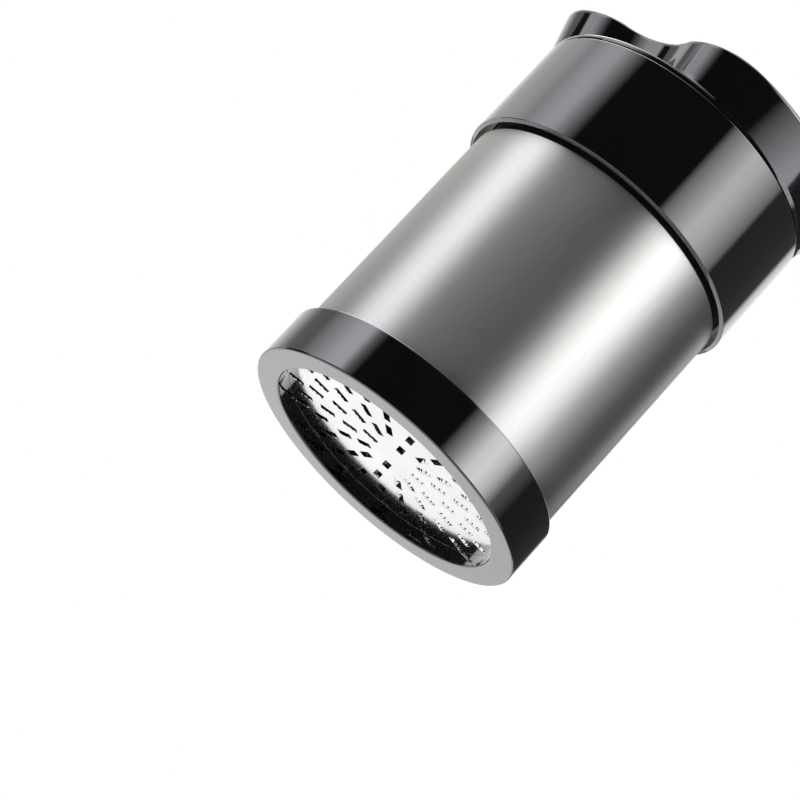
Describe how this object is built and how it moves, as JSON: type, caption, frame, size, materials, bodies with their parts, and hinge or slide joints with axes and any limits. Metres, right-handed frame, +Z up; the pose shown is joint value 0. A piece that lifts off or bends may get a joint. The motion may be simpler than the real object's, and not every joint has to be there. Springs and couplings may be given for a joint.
{
  "type": "mechanical nutmeg grater",
  "caption": "Cylindrical hand-turned nutmeg grater with a flat grater disc in its base ring, a steel sleeve and a black turning head with a lift-off knob and a sprung pusher.",
  "frame": {"origin": "centre of the base ring's lower face, on which the grater stands", "axes": "+Z up the turning axis towards the knob, +Y towards the nutmeg pocket, +X towards one of the knob's two finger scoops (8 degrees short of its middle)"},
  "size_m": [0.076, 0.082, 0.119],
  "materials": {
    "black_plastic": "polished black",
    "dark_plastic": "satin dark grey",
    "pale_plastic": "natural off-white",
    "brushed_steel": "fine lengthwise satin",
    "bright_steel": "bright rolled stainless steel",
    "spring_steel": "drawn wire and turned steel",
    "brass": "turned",
    "rubber": "matte"
  },
  "bodies": {
    "base": {"base_ring": "black_plastic", "grater_disc": "bright_steel", "disc_retainer": "dark_plastic", "base_seal": "rubber"},
    "housing": {"steel_sleeve": "brushed_steel", "inner_liner": "dark_plastic", "glide_ring": "pale_plastic"},
    "turning_head": {"turning_collar": "black_plastic", "retaining_ring": "pale_plastic", "nutmeg_carrier": "dark_plastic", "carrier_screw_1": "spring_steel", "carrier_screw_2": "spring_steel", "carrier_screw_3": "spring_steel", "carrier_screw_4": "spring_steel"},
    "lid": {"knob": "black_plastic", "lid_plate": "dark_plastic", "lid_seal": "rubber", "guide_bush": "brass", "pressure_spring": "spring_steel", "knob_screw_1": "spring_steel", "knob_screw_2": "spring_steel", "knob_screw_3": "spring_steel", "knob_screw_4": "spring_steel"},
    "pusher": {"pusher_stem": "spring_steel", "pusher_head": "pale_plastic", "claw_plate": "bright_steel", "stem_clip": "spring_steel", "pusher_screw": "spring_steel"}
  },
  "joints": [
    {"name": "housing_lift", "type": "slide", "parent": "base", "child": "housing", "axis": [0, 0, 1], "range_m": [0, 0.03]},
    {"name": "head_spin", "type": "hinge", "parent": "housing", "child": "turning_head", "pos_m": [0, 0, 0.088], "axis": [0, 0, 1], "continuous": true},
    {"name": "knob_lift", "type": "slide", "parent": "turning_head", "child": "lid", "axis": [0, 0, 1], "range_m": [0, 0.11]},
    {"name": "pusher_slide", "type": "slide", "parent": "lid", "child": "pusher", "axis": [0, 0, 1], "range_m": [0, 0.022], "stiffness_N_per_m": 150, "springref_m": -0.03, "deforming": ["pressure_spring"]}
  ]
}
